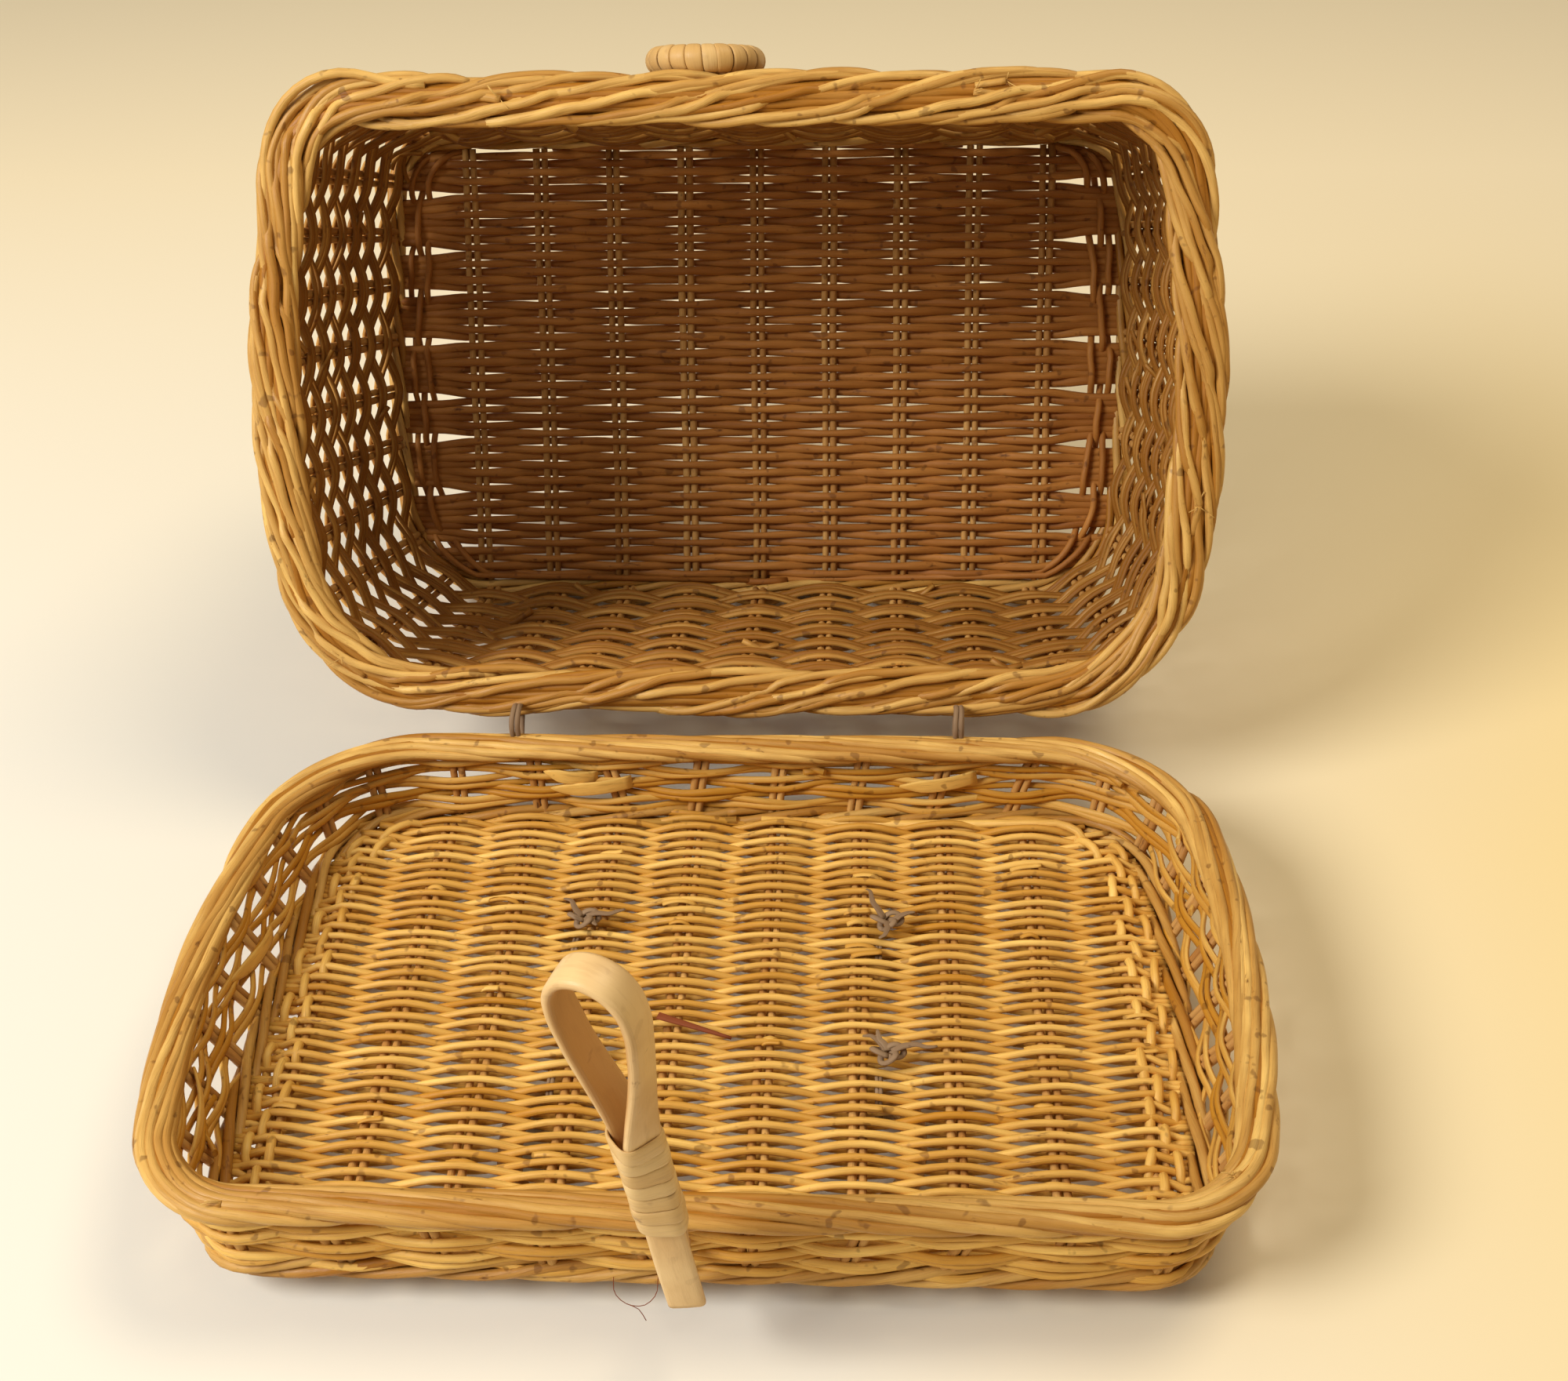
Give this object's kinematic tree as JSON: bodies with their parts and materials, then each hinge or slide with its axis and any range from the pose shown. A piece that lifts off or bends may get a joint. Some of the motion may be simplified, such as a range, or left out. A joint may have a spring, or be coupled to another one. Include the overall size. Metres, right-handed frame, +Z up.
{
  "type": "lidded rattan basket",
  "caption": "Small woven cane basket, rounded oblong, with a tied-on hinged lid, a bent-cane hasp and a wrapped ring to close it; shown lying open.",
  "frame": {"origin": "on the table, under the middle of the open basket's bounding box", "axes": "+X along the hinge, +Y from the lid's front towards the basket, +Z up"},
  "size_m": [0.2998, 0.4364, 0.2321],
  "materials": {
    "woven_cane": "satin",
    "stick_cane": "satin",
    "border_cane": "satin",
    "cane_strip": "satin",
    "binding_cane": "satin",
    "tie_cane": "matte",
    "handle_cane": "satin"
  },
  "bodies": {
    "basket": {"basket_rim_border": "border_cane", "basket_wall": "woven_cane", "basket_foot_border": "border_cane", "basket_base_panel": "woven_cane", "basket_stick_pair_01": "stick_cane", "basket_stick_pair_02": "stick_cane", "basket_stick_pair_03": "stick_cane", "basket_stick_pair_04": "stick_cane", "basket_stick_pair_05": "stick_cane", "basket_stick_pair_06": "stick_cane", "basket_stick_pair_07": "stick_cane", "basket_stick_pair_08": "stick_cane", "basket_stick_pair_09": "stick_cane", "ring_tie": "tie_cane", "hinge_tie_left": "tie_cane", "hinge_tie_right": "tie_cane"},
    "lid": {"lid_rim_border": "border_cane", "lid_wall": "woven_cane", "lid_foot_border": "border_cane", "lid_top_panel": "woven_cane", "lid_stick_pair_01": "stick_cane", "lid_stick_pair_02": "stick_cane", "lid_stick_pair_03": "stick_cane", "lid_stick_pair_04": "stick_cane", "lid_stick_pair_05": "stick_cane", "lid_stick_pair_06": "stick_cane", "lid_stick_pair_07": "stick_cane", "lid_stick_pair_08": "stick_cane", "lid_stick_pair_09": "stick_cane", "lid_stick_pair_10": "stick_cane", "handle_tie_1": "tie_cane", "handle_tie_2": "tie_cane", "handle_tie_3": "tie_cane", "handle_tie_4": "tie_cane"},
    "hasp": {"hasp_loop": "cane_strip", "hasp_binding": "binding_cane"},
    "ring": {"ring_core": "cane_strip", "ring_wrap": "binding_cane"},
    "back_handle": {"back_handle": "handle_cane"},
    "front_handle": {"front_handle": "handle_cane"}
  },
  "joints": [
    {"name": "lid_hinge", "type": "hinge", "parent": "basket", "child": "lid", "pos_m": [0, 0.01088, 0.0425], "axis": [1, 0, 0], "range_deg": [-111.66, 68.3]},
    {"name": "hasp_swing", "type": "hinge", "parent": "lid", "child": "hasp", "pos_m": [0, -0.18088, 0.029], "axis": [1, 0, 0], "range_deg": [0, 24]},
    {"name": "ring_swing", "type": "hinge", "parent": "basket", "child": "ring", "pos_m": [0, 0.1182, 0.21766], "axis": [-1, 0, 0], "range_deg": [0, 90]},
    {"name": "back_handle_swing", "type": "hinge", "parent": "lid", "child": "back_handle", "pos_m": [0, -0.06212, 0.006], "axis": [-1, 0, 0], "range_deg": [0, 90]},
    {"name": "front_handle_swing", "type": "hinge", "parent": "lid", "child": "front_handle", "pos_m": [0, -0.11612, 0.006], "axis": [1, 0, 0], "range_deg": [0, 90]}
  ]
}
